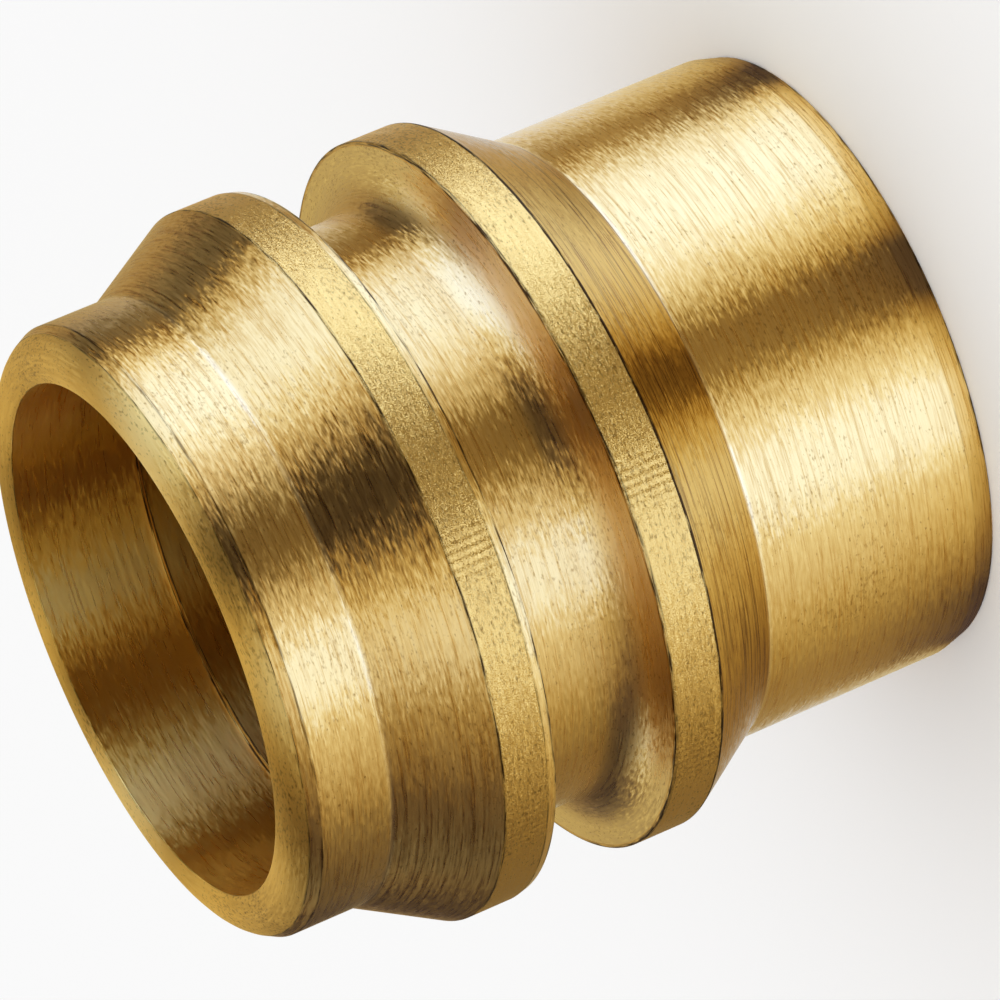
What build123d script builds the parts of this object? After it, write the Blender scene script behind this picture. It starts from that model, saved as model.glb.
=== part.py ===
from build123d import *
import os

# Reducing ring: one turned brass ring that lets a 12 mm tube be clamped in a 15 mm compression
# fitting. It stands on its tail end, with its axis along +Z and the origin at the middle of that end.

# Diameters
tail_diameter = 15.0  # plain tail, which fills the socket of the larger fitting
nose_diameter = 15.0  # plain nose, which stands inside the nut
collar_diameter = 17.5  # both collars
tube_diameter = 12.0  # thinner tube, which goes in from the nose

# Lengths along the axis, from the tail end up to the nose
tail_length = 6.05
seat_cone_length = 2.0  # cone that seats in the fitting
rear_collar_width = 1.25
groove_width = 3.05
front_collar_width = 1.35
nut_cone_length = 2.2  # cone that the nut presses on
nose_length = 2.4
mouth_depth = 3.25  # shallow counterbore that leads the tube in

# Clearances all round the tube, and the wall that the groove leaves round the bore
bore_clearance = 0.1
mouth_clearance = 0.27
groove_wall = 1.15  # thin enough to let the front collar close on the tube

# Edges and corners
taper_length = 0.55  # slight taper that starts the tail into the socket
taper_drop = 0.15
bore_chamfer = 0.2  # at the tail end
rear_root_share = 2 / 3  # radius of the groove corner at the rear collar, as a share of its depth
front_root_share = 1 / 5  # and of the corner at the front collar
edge_break = 0.08  # sharp edges of the collars
bevel_width = 0.25  # slight bevel on the groove side of the front collar
bevel_drop = 0.06
nose_bevel_width = 0.25  # slight bevel where the nose meets its crowned end
nose_bevel_drop = 0.13
crown_width = 0.4  # from the mouth out to the crest of the crowned end
crown_inner_drop = 0.09  # the crown falls this far from its crest to the mouth
crown_outer_drop = 0.37  # and this far to the bevel

# Radii and heights that follow from them
tail_radius = tail_diameter / 2
nose_radius = nose_diameter / 2
collar_radius = collar_diameter / 2
bore_radius = tube_diameter / 2 + bore_clearance
mouth_radius = tube_diameter / 2 + mouth_clearance
groove_radius = bore_radius + groove_wall
groove_depth = collar_radius - groove_radius
crest_radius = mouth_radius + crown_width

rear_collar_start = tail_length + seat_cone_length
groove_start = rear_collar_start + rear_collar_width
front_collar_start = groove_start + groove_width
nut_cone_start = front_collar_start + front_collar_width
nose_start = nut_cone_start + nut_cone_length
ring_length = nose_start + nose_length
mouth_bottom = ring_length - mouth_depth
crown_inner_edge = ring_length - crown_inner_drop
crown_outer_edge = ring_length - crown_outer_drop

with BuildPart() as reducing_ring:
    # Section of the wall, from the tail end up the outside to the nose and back down the bore
    with BuildSketch(Plane.XZ):
        with BuildLine():
            tail_side = Polyline(
                (bore_radius + bore_chamfer, 0),
                (tail_radius - taper_drop, 0),
                (tail_radius, taper_length),
                (tail_radius, tail_length),
                (collar_radius, rear_collar_start),
                (collar_radius, groove_start),
            )
            groove = FilletPolyline(
                tail_side @ 1,
                (groove_radius, groove_start),
                (groove_radius, front_collar_start),
                (collar_radius - bevel_drop, front_collar_start),
                radius=[groove_depth * rear_root_share, groove_depth * front_root_share],
            )
            nose_side = Polyline(
                groove @ 1,
                (collar_radius, front_collar_start + bevel_width),
                (collar_radius, nut_cone_start),
                (nose_radius, nose_start),
                (nose_radius, crown_outer_edge - nose_bevel_width),
                (nose_radius - nose_bevel_drop, crown_outer_edge),
            )
            # Crowned end: an arc down each side of its crest, level where they meet
            crest = (crest_radius, ring_length)
            TangentArc(crest, nose_side @ 1, tangent=(1, 0))
            crown_inside = TangentArc(crest, (mouth_radius, crown_inner_edge), tangent=(-1, 0))
            Polyline(
                crown_inside @ 1,
                (mouth_radius, mouth_bottom),
                (bore_radius, mouth_bottom),
                (bore_radius, bore_chamfer),
                tail_side @ 0,
            )
        make_face()
    revolve(axis=Axis.Z)

    # The collars' outer edges from the tail up: the third has the bevel, and the others are broken
    collar_edges = edges().filter_by(GeomType.CIRCLE).group_by(SortBy.RADIUS)[-1].sort_by(Axis.Z)
    rear_cone_edge, rear_groove_edge, _, front_cone_edge = collar_edges
    chamfer([rear_cone_edge, rear_groove_edge, front_cone_edge], length=edge_break)

os.makedirs("parts", exist_ok=True)
reducing_ring.part.label = "reducing_ring"
export_step(reducing_ring.part, "parts/reducing_ring.step")
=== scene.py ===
import bpy
import numpy as np
from math import pi, radians
from mathutils import Matrix


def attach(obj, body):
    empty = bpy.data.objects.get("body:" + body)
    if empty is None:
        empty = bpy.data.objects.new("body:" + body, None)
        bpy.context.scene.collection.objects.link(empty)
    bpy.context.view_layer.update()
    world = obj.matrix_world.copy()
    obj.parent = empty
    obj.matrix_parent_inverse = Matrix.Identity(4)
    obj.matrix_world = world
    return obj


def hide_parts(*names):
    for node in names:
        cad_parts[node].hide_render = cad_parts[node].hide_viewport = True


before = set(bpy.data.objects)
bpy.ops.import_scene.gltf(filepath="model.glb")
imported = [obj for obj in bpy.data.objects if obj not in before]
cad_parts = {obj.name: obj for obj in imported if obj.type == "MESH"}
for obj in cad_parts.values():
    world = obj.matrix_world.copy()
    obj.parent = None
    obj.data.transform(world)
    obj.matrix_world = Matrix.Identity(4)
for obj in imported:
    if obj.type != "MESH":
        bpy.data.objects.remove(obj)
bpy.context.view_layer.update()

# Reducing ring
# One piece turned from brass bar on a lathe. Its tail fills the socket of a 15 mm compression fitting,
# socket and nut press on its two cones, and a 12 mm tube goes into its bore.
mm = 0.001

# Radii, in millimetres as all sizes of the ring
tail_radius = 7.5
nose_radius = 7.5
collar_radius = 8.75
groove_radius = 7.25
bore_radius = 6.1
mouth_radius = 6.27

# Heights, from the tail end on the floor up to the nose
tail_top = 6.05
rear_collar_bottom = 8.05
rear_collar_top = 9.3
front_collar_bottom = 12.35
front_collar_top = 13.7
mouth_bottom = 15.05
nose_bottom = 15.9
ring_top = 18.3

# Slopes at the edges: lengths and falls run along the axis, depths and widths across it
bore_chamfer = 0.2
taper_depth = 0.15
taper_length = 0.55
collar_bevel_depth = 0.06
nose_bevel_depth = 0.13
bevel_length = 0.25
crown_outer_width = 0.385
crown_outer_fall = 0.37
crown_inner_width = 0.19
crown_inner_fall = 0.09
crown_edge = ring_top - crown_outer_fall

# Rounds of the corners
fine_round = 0.03
edge_round = 0.05
tool_round = 0.12
taper_round = 0.2
front_root_round = 0.3
crown_outer_round = 0.75
crown_inner_round = 0.85
rear_root_round = 1.0

# Lines that the corners show: the one below nought is a painted highlight, and the others are darker the
# higher they are; those at the mouth's rim and at the step in the bore are painted shade
corner_highlight_line = -0.2
no_line = 0
faint_line = 0.2
rim_shade_line = 0.4
bevel_line = 0.7
dark_edge_line = 1
step_shade_line = 1.5
seat_line = 4

# Section of the wall, up the outside and back down the bore: radius, height, round and line of each corner
wall_corners = np.array([
    (bore_radius + bore_chamfer, 0, fine_round, no_line),
    (tail_radius - taper_depth, 0, edge_round, dark_edge_line),
    (tail_radius, taper_length, taper_round, faint_line),
    (tail_radius, tail_top, tool_round, corner_highlight_line),
    (collar_radius, rear_collar_bottom, edge_round, seat_line),
    (collar_radius, rear_collar_top, edge_round, dark_edge_line),
    (groove_radius, rear_collar_top, rear_root_round, no_line),
    (groove_radius, front_collar_bottom, front_root_round, no_line),
    (collar_radius - collar_bevel_depth, front_collar_bottom, edge_round, dark_edge_line),
    (collar_radius, front_collar_bottom + bevel_length, edge_round, bevel_line),
    (collar_radius, front_collar_top, edge_round, dark_edge_line),
    (nose_radius, nose_bottom, tool_round, corner_highlight_line),
    (nose_radius, crown_edge - bevel_length, edge_round, bevel_line),
    (nose_radius - nose_bevel_depth, crown_edge, edge_round, dark_edge_line),
    (nose_radius - crown_outer_width, ring_top, crown_outer_round, no_line),
    (mouth_radius + crown_inner_width, ring_top, crown_inner_round, no_line),
    (mouth_radius, ring_top - crown_inner_fall, fine_round, rim_shade_line),
    (mouth_radius, mouth_bottom, fine_round, step_shade_line),
    (bore_radius, mouth_bottom, fine_round, step_shade_line),
    (bore_radius, bore_chamfer, fine_round, no_line),
])


def corner_arcs(corners, steps):
    """Points and headings on the arc at each corner of a closed outline. An arc tangent to both sides starts
    its radius times the tangent of half the turn before the corner. Its points lie one radius from its centre,
    at right angles to a heading that swings evenly through the turn."""
    point, radius = corners[:, :2], corners[:, 2]
    side_in = point - np.roll(point, 1, axis=0)
    side_in /= np.linalg.norm(side_in, axis=1, keepdims=True)
    side_out = np.roll(side_in, -1, axis=0)
    cross = side_in[:, 0] * side_out[:, 1] - side_in[:, 1] * side_out[:, 0]
    turn = np.arctan2(cross, (side_in * side_out).sum(1))
    start = point - side_in * (radius * np.tan(abs(turn) / 2))[:, None]
    reach = (radius * np.sign(turn))[:, None]
    centre = start + reach * np.stack([-side_in[:, 1], side_in[:, 0]], 1)
    first = np.arctan2(side_in[:, 1], side_in[:, 0])
    heading = first[:, None] + turn[:, None] * np.linspace(0, 1, steps)
    arcs = centre[:, None] - reach[:, None] * np.stack([-np.sin(heading), np.cos(heading)], 2)
    return arcs, heading


def rounded(corners, arc_steps, margin, longest_step):
    """Closed outline with rounded corners: radius, height, heading and length so far of each point, and the
    line that its corner shows. The straight runs between the arcs are divided a small margin from each arc
    and at even steps."""
    arcs, heading = corner_arcs(corners, arc_steps)
    outline = np.vstack([arcs.reshape(-1, 2), arcs[0, :1]])
    headings = np.unwrap(np.append(heading.ravel(), heading[0, 0]))
    length = np.append(0, np.cumsum(np.linalg.norm(np.diff(outline, axis=0), axis=1)))
    arc_start, arc_end = length[:-1].reshape(-1, arc_steps)[:, [0, -1]].T
    arc_ends = np.concatenate([arc_start, arc_end, length[-1:]])
    even = np.arange(0, length[-1], longest_step)
    between = np.concatenate([arc_ends - margin, arc_ends + margin, even])
    stations = np.union1d(length, between.clip(0, length[-1]))
    columns = [np.interp(stations, length, values) for values in (*outline.T, headings)]
    on_arc = (stations[:, None] >= arc_start) & (stations[:, None] <= arc_end)
    return np.stack([*columns, stations], 1), on_arc @ corners[:, 3]


def turned(name, outline, steps, joined):
    """Surface of revolution: a point at radius r and height z goes to (r sin a, -r cos a, z) for evenly
    spaced angles a, with the outline's own normal turned by a. A joined outline's last row is its first. The
    UV map holds the share of the turn and the share of the outline's length."""
    share = outline[:, 3] / outline[-1, 3]
    row, column = np.meshgrid(np.arange(len(outline) - 1), np.arange(steps), indexing="ij")
    corners = [(row, column), (row, column + 1), (row + 1, column + 1), (row + 1, column)]
    unwrapped = np.stack([np.stack([c / steps, share[r]], 2) for r, c in corners], 2)
    rows = len(outline) - joined
    faces = np.stack([r % rows * steps + c % steps for r, c in corners], 2).reshape(-1, 4)
    radius, height, heading = outline[:rows, :3].T[:, :, None]
    angle = np.linspace(0, 2 * pi, steps, endpoint=False)
    way_out = np.stack([np.sin(angle), -np.cos(angle), 0 * angle], 1)
    up = np.array([0, 0, 1])
    points = (radius[..., None] * way_out + height[..., None] * up) * mm
    normals = np.sin(heading)[..., None] * way_out - np.cos(heading)[..., None] * up
    mesh = bpy.data.meshes.new(name)
    mesh.from_pydata(points.reshape(-1, 3), [], faces)
    mesh.uv_layers.new(name="turning").uv.foreach_set("vector", unwrapped.astype(np.float32).ravel())
    mesh.shade_smooth()
    mesh.normals_split_custom_set_from_vertices(normals.reshape(-1, 3))
    piece = bpy.data.objects.new(name, mesh)
    bpy.context.scene.collection.objects.link(piece)
    return piece


ring_steps = 288
ring_outline, corner_lines = rounded(wall_corners, arc_steps=7, margin=0.06, longest_step=0.4)
ring = turned("turned_ring", ring_outline, steps=ring_steps, joined=True)

# Dents left by a shaking tool on the collars: the middle and half width of each patch round the ring, in
# degrees, and its share of the full depth
chatter_patches = np.array([(-7, 3.5, 1.0), (-57, 6, 0.5), (105, 6, 0.8), (170, 4, 0.6), (-140, 5, 0.8)])
middle, half_width, depth_share = chatter_patches.T[:, :, None]
round_ring = np.arange(ring_steps) * 360 / ring_steps
apart = (round_ring - middle + 180) % 360 - 180
patches = (depth_share * np.exp(-(apart / half_width) ** 2)).sum(0)

# Zones of the surface, each the same all round the ring. The painted highlight in the root of the groove fades
# out up its wall.
touching = 0.01
edge_width = 0.1
root_highlight_reach = 1.0
root_highlight_share = 0.7
collar_roughness = 0.22
lip_roughness = 0.25
row_radius, row_height = ring_outline[:-1, :2].T
on_collars = row_radius > collar_radius - touching
in_bore = row_radius < mouth_radius + touching
on_lip = (row_height > crown_edge) & ~in_bore
on_seat_cone = (row_height > tail_top) & (row_height < rear_collar_bottom) & ~in_bore
above_wall = (row_height > rear_collar_top - touching) & (row_radius < collar_radius - edge_width) & ~in_bore
root_highlight = np.interp(row_height, (rear_collar_top, rear_collar_top + root_highlight_reach), (root_highlight_share, 0))
zone_rows = {
    "collars": on_collars,
    "lip": on_lip,
    "rough": collar_roughness * on_collars + lip_roughness * on_lip,
    "bore": in_bore,
    # Painted shade in the deep bore, below the mouth's step
    "deep_bore_shade": in_bore & (row_height < mouth_bottom + touching),
    "seat": on_seat_cone,
    "root": root_highlight * above_wall,
    "lines": corner_lines[:-1],
}
surface = {name: np.outer(rows, np.ones(ring_steps)) for name, rows in zone_rows.items()}
surface["chatter"] = np.outer(on_collars, patches)
for name, values in surface.items():
    attribute = ring.data.attributes.new(name, "FLOAT", "POINT")
    attribute.data.foreach_set("value", values.astype(np.float32).ravel())


def linear(hex_colour):
    """sRGB hex to linear: each channel c becomes ((c + 0.055) / 1.055) to the power 2.4, or c / 12.92 where
    it is dark."""
    channel = np.array([int(hex_colour[i:i + 2], 16) for i in (0, 2, 4)]) / 255
    return (*np.where(channel > 0.04045, ((channel + 0.055) / 1.055) ** 2.4, channel / 12.92), 1.0)


def bare_material(name):
    """New material that has no nodes yet."""
    material = bpy.data.materials.new(name)
    material.use_nodes = True
    material.node_tree.nodes.clear()
    return material


def add(material, kind, settings=(), **inputs):
    """Adds a node, sets its properties, and fills its inputs: a socket is linked, anything else is a value.
    An input goes by its label in small letters with underscores, or by i and its number."""
    tree = material.node_tree
    node = tree.nodes.new(kind)
    for key, value in dict(settings).items():
        setattr(node, key, value)
    named = {socket.name.lower().replace(" ", "_"): socket for socket in reversed(node.inputs)}
    for key, value in inputs.items():
        socket = node.inputs[int(key[1:])] if key[1:].isdigit() else named[key]
        if isinstance(value, bpy.types.NodeSocket):
            tree.links.new(value, socket)
        else:
            socket.default_value = value
    return node


# Turned brass: fine rings left by the tool spread each reflection along the axis, so that light and dark
# show as bands from end to end, broken up by short streaks and grain.
brass = bare_material("turned brass")
place = add(brass, "ShaderNodeTexCoord").outputs["Object"]
place_xyz = add(brass, "ShaderNodeSeparateXYZ", vector=place).outputs
turning = add(brass, "ShaderNodeUVMap", {"uv_map": "turning"}).outputs[0]
turn_share, girth_share, _ = add(brass, "ShaderNodeSeparateXYZ", vector=turning).outputs
zone = {name: add(brass, "ShaderNodeAttribute", {"attribute_name": name}).outputs["Fac"] for name in surface}

# Marks of the tool: the length and width of rings that run far round, streaks, dashes and specks. Real ones
# are finer, and these are drawn as coarse as they need to show.
ring_girth = ring_outline[-1, 3] * mm
marks = {}
for name, length, width in (
    ("rings", 4 * mm, 0.06 * mm),
    ("streaks", 0.8 * mm, 0.05 * mm),
    ("dashes", 0.3 * mm, 0.05 * mm),
    ("specks", 0.14 * mm, 0.06 * mm),
):
    stretch = ring_girth * length / width
    across = add(brass, "ShaderNodeMath", {"operation": "MULTIPLY"}, i0=girth_share, i1=stretch)
    along = add(brass, "ShaderNodeCombineXYZ", x=place_xyz[0], y=place_xyz[1], z=across.outputs[0])
    noise = add(
        brass, "ShaderNodeTexNoise", vector=along.outputs[0],
        scale=1 / length, detail=1.5, roughness=0.6,
    )
    marks[name] = noise.outputs[0]

# Roughness and colour change from ring to ring, and the collars and the lip are rougher
noise_low = 0.35
noise_high = 0.65
lines = add(
    brass, "ShaderNodeMix", {"data_type": "FLOAT"},
    i0=0.5, i2=marks["rings"], i3=marks["streaks"],
).outputs[0]
smooth = add(
    brass, "ShaderNodeMapRange", value=lines,
    from_min=noise_low, from_max=noise_high, to_min=0.25, to_max=0.37,
)
roughness = add(brass, "ShaderNodeMath", {"operation": "ADD"}, i0=zone["rough"], i1=smooth.outputs[0])
clean = add(brass, "ShaderNodeValToRGB", fac=lines)
dull_stop, clear_stop = clean.color_ramp.elements
dull_stop.position = 0.32
dull_stop.color = linear("C4944C")
clear_stop.position = 0.54
clear_stop.color = linear("EBC278")

# Painted light on the zones: a brighter, warmer gold on the collars and the lip and in the bore stands in for
# the light they catch; painted shade makes the bore below the mouth's step duller and the seat cone browner,
# as it faces down to the floor; and a painted highlight makes the root of the groove paler
zone_colours_and_painted_light = clean.outputs[0]
for name, blend, tint in (
    ("collars", "MIX", "FFD074"),
    ("bore", "MIX", "F9CB6C"),
    ("lip", "MIX", "F8CC70"),
    # Painted shade in the deep bore and on the seat cone, and a painted highlight in the groove's root
    ("deep_bore_shade", "MULTIPLY", "C8BEB4"),
    ("seat", "MULTIPLY", "E0CC94"),
    ("root", "MIX", "EED6A2"),
):
    zone_colours_and_painted_light = add(
        brass, "ShaderNodeMix", {"data_type": "RGBA", "blend_type": blend},
        i0=zone[name], i6=zone_colours_and_painted_light, i7=linear(tint),
    ).outputs[2]

# Brown specks outside the bore, in patches about 2.5 mm wide and thicker on the rough zones
patch_width = 2.5 * mm
clusters = add(brass, "ShaderNodeTexNoise", vector=place, scale=1 / patch_width, detail=1.0)
patchy = add(
    brass, "ShaderNodeMapRange", value=clusters.outputs[0],
    from_min=noise_low, from_max=noise_high, to_min=0.30, to_max=0.48,
)
grainy = add(
    brass, "ShaderNodeMath", {"operation": "MULTIPLY_ADD"},
    i0=zone["rough"], i1=0.2, i2=patchy.outputs[0],
)
spots = add(
    brass, "ShaderNodeMapRange", value=marks["specks"],
    from_min=0.2, from_max=grainy.outputs[0], to_min=0.75, to_max=0.0,
)
outside = add(brass, "ShaderNodeMath", {"operation": "SUBTRACT"}, i0=1.0, i1=zone["bore"])
specks = add(brass, "ShaderNodeMath", {"operation": "MULTIPLY"}, i0=spots.outputs[0], i1=outside.outputs[0])
specked = add(
    brass, "ShaderNodeMix", {"data_type": "RGBA"},
    i0=specks.outputs[0], i6=zone_colours_and_painted_light, i7=linear("8A5A1A"),
)

# Painted highlights: bright lines in the tool's concave corners
corner_highlight = add(brass, "ShaderNodeMath", {"operation": "MULTIPLY", "use_clamp": True}, i0=zone["lines"], i1=-1.0)
corner_highlighted = add(
    brass, "ShaderNodeMix", {"data_type": "RGBA"},
    i0=corner_highlight.outputs[0], i6=specked.outputs[2], i7=linear("FFF0C8"),
)

# Broken dark lines along the sharp edges, painted shade along the mouth's rim and the step in the bore, and
# coarse dark rings on the seat cone
broken = add(
    brass, "ShaderNodeMapRange", value=marks["streaks"],
    from_min=0.42, from_max=0.58, to_min=1.0, to_max=0.15,
)
edge_lines_and_painted_shade = add(
    brass, "ShaderNodeMath", {"operation": "MULTIPLY", "use_clamp": True},
    i0=zone["lines"], i1=broken.outputs[0],
)
coarse = add(
    brass, "ShaderNodeMapRange", value=marks["rings"],
    from_min=0.34, from_max=0.5, to_min=0.38, to_max=0.0,
)
ridges = add(brass, "ShaderNodeMath", {"operation": "MULTIPLY"}, i0=zone["seat"], i1=coarse.outputs[0])
dark_marks_and_painted_shade = add(brass, "ShaderNodeMath", {"operation": "MAXIMUM"}, i0=edge_lines_and_painted_shade.outputs[0], i1=ridges.outputs[0])
colour = add(
    brass, "ShaderNodeMix", {"data_type": "RGBA"},
    i0=dark_marks_and_painted_shade.outputs[0], i6=corner_highlighted.outputs[2], i7=linear("4A3219"),
)

# Each dash leans a little round the ring. The collars keep the fine grain of the drawn bar, and its facets
# lean more, so that they even out the bands of light and dark.
dash_tilt = 0.19
grain_tilt = 0.75
grain_width = 0.015 * mm
grain_length = 0.03 * mm
grain_place = add(
    brass, "ShaderNodeMapping", vector=place,
    scale=(1 / grain_width, 1 / grain_width, 1 / grain_length),
)
grain = add(brass, "ShaderNodeTexNoise", vector=grain_place.outputs[0], scale=1.0, detail=1.5)
dash_lean = add(
    brass, "ShaderNodeMapRange", {"clamp": False},
    value=marks["dashes"], to_min=-dash_tilt, to_max=dash_tilt,
)
grain_lean = add(
    brass, "ShaderNodeMapRange", {"clamp": False},
    value=grain.outputs[0], to_min=-grain_tilt, to_max=grain_tilt,
)
lean = add(
    brass, "ShaderNodeMath", {"operation": "MULTIPLY_ADD"},
    i0=zone["collars"], i1=grain_lean.outputs[0], i2=dash_lean.outputs[0],
)
way_round = add(brass, "ShaderNodeTangent", {"direction_type": "UV_MAP", "uv_map": "turning"}).outputs[0]
facing = add(brass, "ShaderNodeNewGeometry").outputs["Normal"]
sideways = add(brass, "ShaderNodeVectorMath", {"operation": "SCALE"}, i0=way_round, scale=lean.outputs[0])
tilted = add(brass, "ShaderNodeVectorMath", {"operation": "ADD"}, i0=facing, i1=sideways.outputs[0])
leaning = add(brass, "ShaderNodeVectorMath", {"operation": "NORMALIZE"}, i0=tilted.outputs[0])

# Dents left by a shaking tool, in rows round the collars
dent_spacing = 0.2
dent_depth = 0.004 * mm
dent_count = round(2 * pi * collar_radius / dent_spacing)
dent_turn = add(brass, "ShaderNodeMath", {"operation": "MULTIPLY"}, i0=turn_share, i1=2 * pi * dent_count)
dents = add(brass, "ShaderNodeMath", {"operation": "SINE"}, i0=dent_turn.outputs[0])
dent_height = add(brass, "ShaderNodeMath", {"operation": "MULTIPLY"}, i0=dents.outputs[0], i1=zone["chatter"])
relief = add(
    brass, "ShaderNodeBump", strength=1.0, distance=dent_depth,
    height=dent_height.outputs[0], normal=leaning.outputs[0],
)

# The quarter turn lays the spread of the reflections along the axis
metal = add(
    brass, "ShaderNodeBsdfPrincipled",
    base_color=colour.outputs[2], metallic=1.0, roughness=roughness.outputs[0],
    anisotropic=0.95, anisotropic_rotation=0.25, tangent=way_round, normal=relief.outputs[0],
)
add(brass, "ShaderNodeOutputMaterial", surface=metal.outputs[0])
ring.data.materials.append(brass)
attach(ring, "root")
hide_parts("reducing_ring")

# Floor
# Pale matt board, far wider than the view, that the ring stands on with its tail end.
# It is plain white card laid flat, and it keeps the ring's soft shadow.
half_floor = 1.0
floor_corners = [(x * half_floor, y * half_floor, 0) for x, y in ((-1, -1), (1, -1), (1, 1), (-1, 1))]
floor_mesh = bpy.data.meshes.new("pale_floor")
floor_mesh.from_pydata(floor_corners, [], [(0, 1, 2, 3)])
floor = bpy.data.objects.new("pale_floor", floor_mesh)
bpy.context.scene.collection.objects.link(floor)
board = bare_material("matt white board")
matt = add(board, "ShaderNodeBsdfDiffuse", color=linear("FAFAFA"))
add(board, "ShaderNodeOutputMaterial", surface=matt.outputs[0])
floor_mesh.materials.append(board)

# Light tent
# Round tent of cards that stands over the ring and lies under it, seen only in its metal. Soft white panels
# on two sides, with darker gaps between them, give the bands of light and dark.
tent_radius = 45
tent_height = 120
above_floor = 0.03

# Radius, height, heading and row of each point, from the middle of the floor to the middle of the top
tent_outline = np.array([
    (0, above_floor, 0, 0),
    (tent_radius, above_floor, 0, 1),
    (tent_radius, tent_height, pi / 2, 2),
    (0, tent_height, pi, 3),
])
tent = turned("light_tent", tent_outline, steps=72, joined=False)
for ray in ("camera", "diffuse", "transmission", "volume_scatter", "shadow"):
    setattr(tent, "visible_" + ray, False)

# Studio cards: they shine by themselves, from warm grey in the gaps to a cool white on the panels
cards = bare_material("studio cards")
cards.cycles.emission_sampling = "NONE"
spot = add(cards, "ShaderNodeTexCoord").outputs["Object"]
beside, behind, above = add(cards, "ShaderNodeSeparateXYZ", vector=spot).outputs
flat = add(cards, "ShaderNodeVectorMath", {"operation": "MULTIPLY"}, i0=spot, i1=(1, 1, 0))
away = add(cards, "ShaderNodeVectorMath", {"operation": "LENGTH"}, i0=flat.outputs[0]).outputs["Value"]

# Angle round the ring from the camera's side. The cards' edges curve in towards the ring, so that each shows
# as one straight band: the angle is divided by 1 less half the ring's radius over the distance away.
turned_spot = add(cards, "ShaderNodeMapping", vector=spot, rotation=(0, 0, radians(90)))
way = add(cards, "ShaderNodeTexGradient", {"gradient_type": "RADIAL"}, vector=turned_spot.outputs[0])
nearness = add(cards, "ShaderNodeMath", {"operation": "DIVIDE"}, i0=tail_radius / 2 * mm, i1=away)
curve = add(cards, "ShaderNodeMath", {"operation": "SUBTRACT"}, i0=1.0, i1=nearness.outputs[0])
centred = add(cards, "ShaderNodeMath", {"operation": "SUBTRACT"}, i0=way.outputs["Fac"], i1=0.5)
curved = add(cards, "ShaderNodeMath", {"operation": "DIVIDE"}, i0=centred.outputs[0], i1=curve.outputs[0])
angle = add(cards, "ShaderNodeMath", {"operation": "ADD"}, i0=curved.outputs[0], i1=0.5)
panels = add(cards, "ShaderNodeValToRGB", fac=angle.outputs[0])

# The panels differ least far out on the floor and most high up
near = add(
    cards, "ShaderNodeMapRange", value=away,
    from_min=9 * mm, from_max=14 * mm, to_min=0.65, to_max=0.34,
)
low = add(
    cards, "ShaderNodeMapRange", value=above,
    from_min=0.0, from_max=4 * mm, to_min=near.outputs[0], to_max=1.15,
)
high = add(
    cards, "ShaderNodeMapRange", value=above,
    from_min=6 * mm, from_max=50 * mm, to_min=0.0, to_max=0.35,
)
contrast = add(cards, "ShaderNodeMath", {"operation": "ADD"}, i0=low.outputs[0], i1=high.outputs[0])
sharpened = add(cards, "ShaderNodeMath", {"operation": "POWER"}, i0=panels.outputs[0], i1=contrast.outputs[0])

# Higher up they dim, more on one side than on the other
dimmest = add(
    cards, "ShaderNodeMapRange", value=beside,
    from_min=-25 * mm, from_max=25 * mm, to_min=0.8, to_max=0.97,
)
dimmer = add(
    cards, "ShaderNodeMapRange", value=above,
    from_min=20 * mm, from_max=45 * mm, to_min=1.0, to_max=dimmest.outputs[0],
)
dimmed = add(
    cards, "ShaderNodeMath", {"operation": "MULTIPLY"},
    i0=sharpened.outputs[0], i1=dimmer.outputs[0],
)

# Above them is an even tone, dark in front of the ring and light behind it. It starts lower towards the back,
# and on the flanks it is a little lighter at first and then darker.
fade_height = 20 * mm
even_from = add(
    cards, "ShaderNodeMapRange", value=behind,
    from_min=-22 * mm, from_max=27 * mm, to_min=105 * mm, to_max=17 * mm,
)
even_to = add(cards, "ShaderNodeMath", {"operation": "ADD"}, i0=even_from.outputs[0], i1=fade_height)
rise = add(
    cards, "ShaderNodeMapRange", value=above,
    from_min=even_from.outputs[0], from_max=even_to.outputs[0], to_min=0.0, to_max=1.0,
)
even = add(
    cards, "ShaderNodeMapRange", value=behind,
    from_min=-20 * mm, from_max=8 * mm, to_min=0.15, to_max=0.68,
)
aside = add(cards, "ShaderNodeMath", {"operation": "ABSOLUTE"}, i0=beside)
flank = add(
    cards, "ShaderNodeMapRange", value=aside.outputs[0],
    from_min=15 * mm, from_max=30 * mm, to_min=0.0, to_max=1.0,
)
lift = add(
    cards, "ShaderNodeMapRange", value=above,
    from_min=42 * mm, from_max=60 * mm, to_min=0.16, to_max=-0.5,
)
even_tone = add(
    cards, "ShaderNodeMath", {"operation": "MULTIPLY_ADD", "use_clamp": True},
    i0=flank.outputs[0], i1=lift.outputs[0], i2=even.outputs[0],
)
upper = add(
    cards, "ShaderNodeMix", {"data_type": "FLOAT"},
    i0=rise.outputs[0], i2=dimmed.outputs[0], i3=even_tone.outputs[0],
)

# Inside the bore and close round the ring's foot the floor is in shade
foot = add(
    cards, "ShaderNodeMapRange", value=away,
    from_min=5 * mm, from_max=8.5 * mm, to_min=0.1, to_max=1.0,
)
brightness = add(cards, "ShaderNodeMath", {"operation": "MULTIPLY"}, i0=upper.outputs[0], i1=foot.outputs[0])
tone = add(cards, "ShaderNodeValToRGB", fac=brightness.outputs[0])

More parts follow.
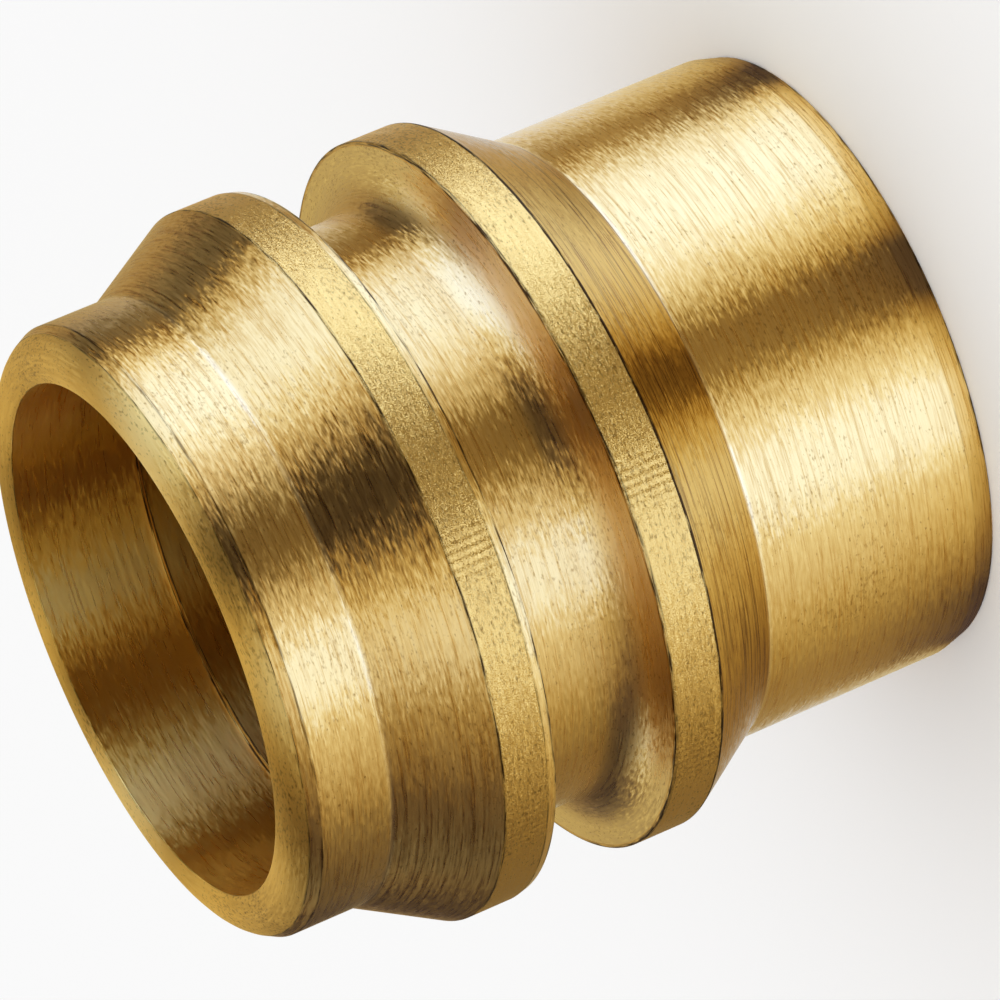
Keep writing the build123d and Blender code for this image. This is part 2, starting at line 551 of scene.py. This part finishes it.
# Level of the panels by their angle in degrees, and light of the cards by their brightness
panel_levels = {
    -180: 0.60, -165: 0.14, -125: 0.14, -100: 0.32, -80: 0.55, -58: 0.73, -45: 0.95,
    -26: 0.98, -5: 0.62, 7: 0.16, 26: 0.115, 35: 0.52, 44: 0.72, 56: 0.93,
    68: 1.0, 92: 0.98, 107: 0.78, 119: 0.11, 132: 0.11, 150: 0.50, 180: 0.60,
}
panel_stops = {0.5 + degrees / 360: (level, level, level) for degrees, level in panel_levels.items()}
card_stops = {
    0.0: (0.01, 0.008, 0.008),
    0.24: (0.106, 0.083, 0.09),
    0.45: (0.386, 0.285, 0.135),
    0.65: (0.755, 0.68, 0.37),
    0.76: (0.98, 0.99, 0.75),
    0.9: (1.25, 1.55, 2.0),
    1.0: (1.45, 2.1, 4.3),
}
for ramp, stops in ((panels, panel_stops), (tone, card_stops)):
    elements = ramp.color_ramp.elements
    for position, light in stops.items():
        # A ramp already has a stop at each end, its first and its last
        at_end = position in (0, 1)
        stop = elements[-int(position)] if at_end else elements.new(position)
        stop.color = (*light, 1)
glow = add(cards, "ShaderNodeEmission", color=tone.outputs[0], strength=1.0)
add(cards, "ShaderNodeOutputMaterial", surface=glow.outputs[0])
tent.data.materials.append(cards)

# Daylight
# Even white light from all round, as in a white room.
# It lights the floor, while the metal shows the tent.
daylight = bpy.data.worlds.new("even daylight")
daylight.use_nodes = True
sky = daylight.node_tree.nodes["Background"]
sky.inputs["Color"].default_value = (1, 1, 1, 1)
sky.inputs["Strength"].default_value = 1.0
bpy.context.scene.world = daylight

# Camera
# A long lens a little above the ring that looks down on it, rolled on its side so that the nose points left
# and down. The angles are in degrees.
look_down = 19.91
roll = -112.91
camera_data = bpy.data.cameras.new("camera")
camera_data.sensor_width = 36
camera_data.lens = 332.3
camera_data.clip_start = 0.01
camera = bpy.data.objects.new("camera", camera_data)
bpy.context.scene.collection.objects.link(camera)
stand = Matrix.Translation((-0.23 * mm, -200.23 * mm, 81.42 * mm))
tilt = Matrix.Rotation(radians(90 - look_down), 4, "X")
camera.matrix_world = stand @ tilt @ Matrix.Rotation(radians(roll), 4, "Z")
bpy.context.scene.camera = camera
bpy.context.scene.view_settings.view_transform = "Standard"
